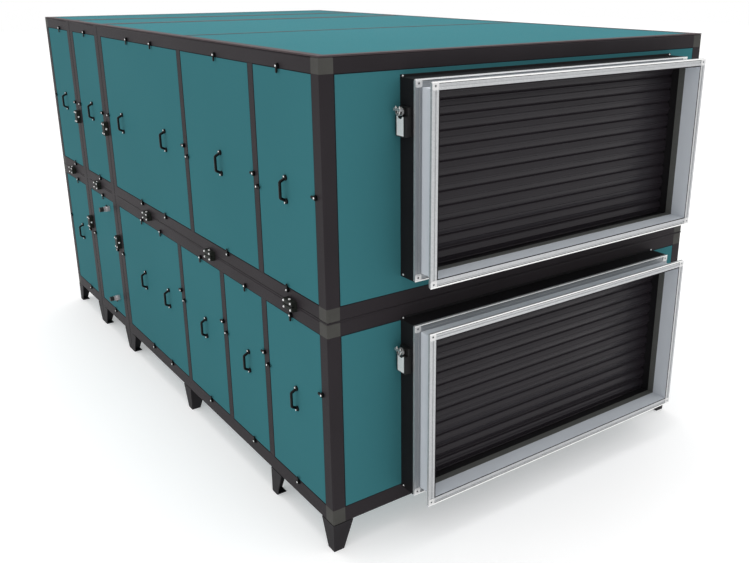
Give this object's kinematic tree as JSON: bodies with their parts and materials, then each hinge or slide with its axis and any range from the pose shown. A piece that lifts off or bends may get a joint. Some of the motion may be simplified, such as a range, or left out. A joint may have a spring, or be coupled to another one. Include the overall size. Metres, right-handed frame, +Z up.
{
  "type": "air handling unit",
  "caption": "Double-deck air handling unit: framed casing with insulated lift-off panels, bent-sheet feet, and multi-blade dampers with flexible duct connectors at one end.",
  "frame": {"origin": "on the floor under the middle of the whole unit", "axes": "+X out of the damper end along the unit's length, -Y out of the service side, +Z up"},
  "size_m": [4.384, 2.454, 2.245],
  "materials": {
    "panel_teal": "satin powder coat",
    "frame_grey": "satin dark warm grey",
    "bracket_plastic": "moulded grey",
    "handle_black": "glossy black",
    "clamp_black": "glossy black",
    "foot_grey": "satin dark grey",
    "damper_black": "satin black",
    "blade_black": "satin black",
    "galvanised": "galvanised",
    "sleeve_cloth": "coated grey cloth",
    "pipe_metal": "bare metal",
    "cap_black": "black plastic",
    "drive_black": "black plastic",
    "hub_bright": "bright plated"
  },
  "bodies": {
    "casing": {"posts": "frame_grey", "long_rails": "frame_grey", "cross_rails": "frame_grey", "mullions": "frame_grey", "corner_brackets": "bracket_plastic", "upper_access_panels": "panel_teal", "lower_access_panels": "panel_teal", "back_panels": "panel_teal", "roof_panels": "panel_teal", "deck_panels": "panel_teal", "floor_panels": "panel_teal", "damper_end_panels": "panel_teal", "far_end_panels": "panel_teal", "handles": "handle_black", "panel_locks": "handle_black", "section_clamps": "clamp_black", "deck_clamps": "clamp_black", "feet": "foot_grey", "damper_jambs": "damper_black", "damper_rails": "damper_black", "flange_bars": "galvanised", "flange_corners": "galvanised", "near_sleeves": "sleeve_cloth", "far_sleeves": "sleeve_cloth", "pipe_stubs": "pipe_metal", "pipe_caps": "cap_black", "damper_drives": "drive_black"},
    "upper_blade_01": {"upper_blade_01": "blade_black"},
    "upper_blade_02": {"upper_blade_02": "blade_black"},
    "upper_blade_03": {"upper_blade_03": "blade_black"},
    "upper_blade_04": {"upper_blade_04": "blade_black"},
    "upper_blade_05": {"upper_blade_05": "blade_black"},
    "upper_blade_06": {"upper_blade_06": "blade_black"},
    "upper_blade_07": {"upper_blade_07": "blade_black"},
    "upper_blade_08": {"upper_blade_08": "blade_black"},
    "upper_blade_09": {"upper_blade_09": "blade_black"},
    "upper_blade_10": {"upper_blade_10": "blade_black"},
    "upper_blade_11": {"upper_blade_11": "blade_black", "upper_hub": "hub_bright"},
    "upper_blade_12": {"upper_blade_12": "blade_black"},
    "lower_blade_01": {"lower_blade_01": "blade_black"},
    "lower_blade_02": {"lower_blade_02": "blade_black"},
    "lower_blade_03": {"lower_blade_03": "blade_black"},
    "lower_blade_04": {"lower_blade_04": "blade_black"},
    "lower_blade_05": {"lower_blade_05": "blade_black"},
    "lower_blade_06": {"lower_blade_06": "blade_black"},
    "lower_blade_07": {"lower_blade_07": "blade_black"},
    "lower_blade_08": {"lower_blade_08": "blade_black"},
    "lower_blade_09": {"lower_blade_09": "blade_black"},
    "lower_blade_10": {"lower_blade_10": "blade_black"},
    "lower_blade_11": {"lower_blade_11": "blade_black", "lower_hub": "hub_bright"},
    "lower_blade_12": {"lower_blade_12": "blade_black"}
  },
  "joints": [
    {"name": "upper_blade_01_turn", "type": "hinge", "parent": "casing", "child": "upper_blade_01", "pos_m": [2.0225, 0.084, 1.34817], "axis": [0, 1, 0], "range_deg": [0, 90]},
    {"name": "upper_blade_02_turn", "type": "hinge", "parent": "casing", "child": "upper_blade_02", "pos_m": [2.0225, 0.084, 1.4145], "axis": [0, 1, 0], "range_deg": [-90, 0]},
    {"name": "upper_blade_03_turn", "type": "hinge", "parent": "casing", "child": "upper_blade_03", "pos_m": [2.0225, 0.084, 1.48083], "axis": [0, 1, 0], "range_deg": [0, 90]},
    {"name": "upper_blade_04_turn", "type": "hinge", "parent": "casing", "child": "upper_blade_04", "pos_m": [2.0225, 0.084, 1.54717], "axis": [0, 1, 0], "range_deg": [-90, 0]},
    {"name": "upper_blade_05_turn", "type": "hinge", "parent": "casing", "child": "upper_blade_05", "pos_m": [2.0225, 0.084, 1.6135], "axis": [0, 1, 0], "range_deg": [0, 90]},
    {"name": "upper_blade_06_turn", "type": "hinge", "parent": "casing", "child": "upper_blade_06", "pos_m": [2.0225, 0.084, 1.67983], "axis": [0, 1, 0], "range_deg": [-90, 0]},
    {"name": "upper_blade_07_turn", "type": "hinge", "parent": "casing", "child": "upper_blade_07", "pos_m": [2.0225, 0.084, 1.74617], "axis": [0, 1, 0], "range_deg": [0, 90]},
    {"name": "upper_blade_08_turn", "type": "hinge", "parent": "casing", "child": "upper_blade_08", "pos_m": [2.0225, 0.084, 1.8125], "axis": [0, 1, 0], "range_deg": [-90, 0]},
    {"name": "upper_blade_09_turn", "type": "hinge", "parent": "casing", "child": "upper_blade_09", "pos_m": [2.0225, 0.084, 1.87883], "axis": [0, 1, 0], "range_deg": [0, 90]},
    {"name": "upper_blade_10_turn", "type": "hinge", "parent": "casing", "child": "upper_blade_10", "pos_m": [2.0225, 0.084, 1.94517], "axis": [0, 1, 0], "range_deg": [-90, 0]},
    {"name": "upper_damper_turn", "type": "hinge", "parent": "casing", "child": "upper_blade_11", "pos_m": [2.0225, 0.084, 2.0115], "axis": [0, 1, 0], "range_deg": [0, 90]},
    {"name": "upper_blade_12_turn", "type": "hinge", "parent": "casing", "child": "upper_blade_12", "pos_m": [2.0225, 0.084, 2.07783], "axis": [0, 1, 0], "range_deg": [-90, 0]},
    {"name": "lower_blade_01_turn", "type": "hinge", "parent": "casing", "child": "lower_blade_01", "pos_m": [2.0225, 0.084, 0.28017], "axis": [0, 1, 0], "range_deg": [0, 90]},
    {"name": "lower_blade_02_turn", "type": "hinge", "parent": "casing", "child": "lower_blade_02", "pos_m": [2.0225, 0.084, 0.3465], "axis": [0, 1, 0], "range_deg": [-90, 0]},
    {"name": "lower_blade_03_turn", "type": "hinge", "parent": "casing", "child": "lower_blade_03", "pos_m": [2.0225, 0.084, 0.41283], "axis": [0, 1, 0], "range_deg": [0, 90]},
    {"name": "lower_blade_04_turn", "type": "hinge", "parent": "casing", "child": "lower_blade_04", "pos_m": [2.0225, 0.084, 0.47917], "axis": [0, 1, 0], "range_deg": [-90, 0]},
    {"name": "lower_blade_05_turn", "type": "hinge", "parent": "casing", "child": "lower_blade_05", "pos_m": [2.0225, 0.084, 0.5455], "axis": [0, 1, 0], "range_deg": [0, 90]},
    {"name": "lower_blade_06_turn", "type": "hinge", "parent": "casing", "child": "lower_blade_06", "pos_m": [2.0225, 0.084, 0.61183], "axis": [0, 1, 0], "range_deg": [-90, 0]},
    {"name": "lower_blade_07_turn", "type": "hinge", "parent": "casing", "child": "lower_blade_07", "pos_m": [2.0225, 0.084, 0.67817], "axis": [0, 1, 0], "range_deg": [0, 90]},
    {"name": "lower_blade_08_turn", "type": "hinge", "parent": "casing", "child": "lower_blade_08", "pos_m": [2.0225, 0.084, 0.7445], "axis": [0, 1, 0], "range_deg": [-90, 0]},
    {"name": "lower_blade_09_turn", "type": "hinge", "parent": "casing", "child": "lower_blade_09", "pos_m": [2.0225, 0.084, 0.81083], "axis": [0, 1, 0], "range_deg": [0, 90]},
    {"name": "lower_blade_10_turn", "type": "hinge", "parent": "casing", "child": "lower_blade_10", "pos_m": [2.0225, 0.084, 0.87717], "axis": [0, 1, 0], "range_deg": [-90, 0]},
    {"name": "lower_damper_turn", "type": "hinge", "parent": "casing", "child": "lower_blade_11", "pos_m": [2.0225, 0.084, 0.9435], "axis": [0, 1, 0], "range_deg": [0, 90]},
    {"name": "lower_blade_12_turn", "type": "hinge", "parent": "casing", "child": "lower_blade_12", "pos_m": [2.0225, 0.084, 1.00983], "axis": [0, 1, 0], "range_deg": [-90, 0]}
  ],
  "couplings": [
    {"joint": "upper_blade_01_turn", "follows": "upper_damper_turn", "ratio": 1},
    {"joint": "upper_blade_02_turn", "follows": "upper_damper_turn", "ratio": -1},
    {"joint": "upper_blade_03_turn", "follows": "upper_damper_turn", "ratio": 1},
    {"joint": "upper_blade_04_turn", "follows": "upper_damper_turn", "ratio": -1},
    {"joint": "upper_blade_05_turn", "follows": "upper_damper_turn", "ratio": 1},
    {"joint": "upper_blade_06_turn", "follows": "upper_damper_turn", "ratio": -1},
    {"joint": "upper_blade_07_turn", "follows": "upper_damper_turn", "ratio": 1},
    {"joint": "upper_blade_08_turn", "follows": "upper_damper_turn", "ratio": -1},
    {"joint": "upper_blade_09_turn", "follows": "upper_damper_turn", "ratio": 1},
    {"joint": "upper_blade_10_turn", "follows": "upper_damper_turn", "ratio": -1},
    {"joint": "upper_blade_12_turn", "follows": "upper_damper_turn", "ratio": -1},
    {"joint": "lower_blade_01_turn", "follows": "lower_damper_turn", "ratio": 1},
    {"joint": "lower_blade_02_turn", "follows": "lower_damper_turn", "ratio": -1},
    {"joint": "lower_blade_03_turn", "follows": "lower_damper_turn", "ratio": 1},
    {"joint": "lower_blade_04_turn", "follows": "lower_damper_turn", "ratio": -1},
    {"joint": "lower_blade_05_turn", "follows": "lower_damper_turn", "ratio": 1},
    {"joint": "lower_blade_06_turn", "follows": "lower_damper_turn", "ratio": -1},
    {"joint": "lower_blade_07_turn", "follows": "lower_damper_turn", "ratio": 1},
    {"joint": "lower_blade_08_turn", "follows": "lower_damper_turn", "ratio": -1},
    {"joint": "lower_blade_09_turn", "follows": "lower_damper_turn", "ratio": 1},
    {"joint": "lower_blade_10_turn", "follows": "lower_damper_turn", "ratio": -1},
    {"joint": "lower_blade_12_turn", "follows": "lower_damper_turn", "ratio": -1}
  ]
}
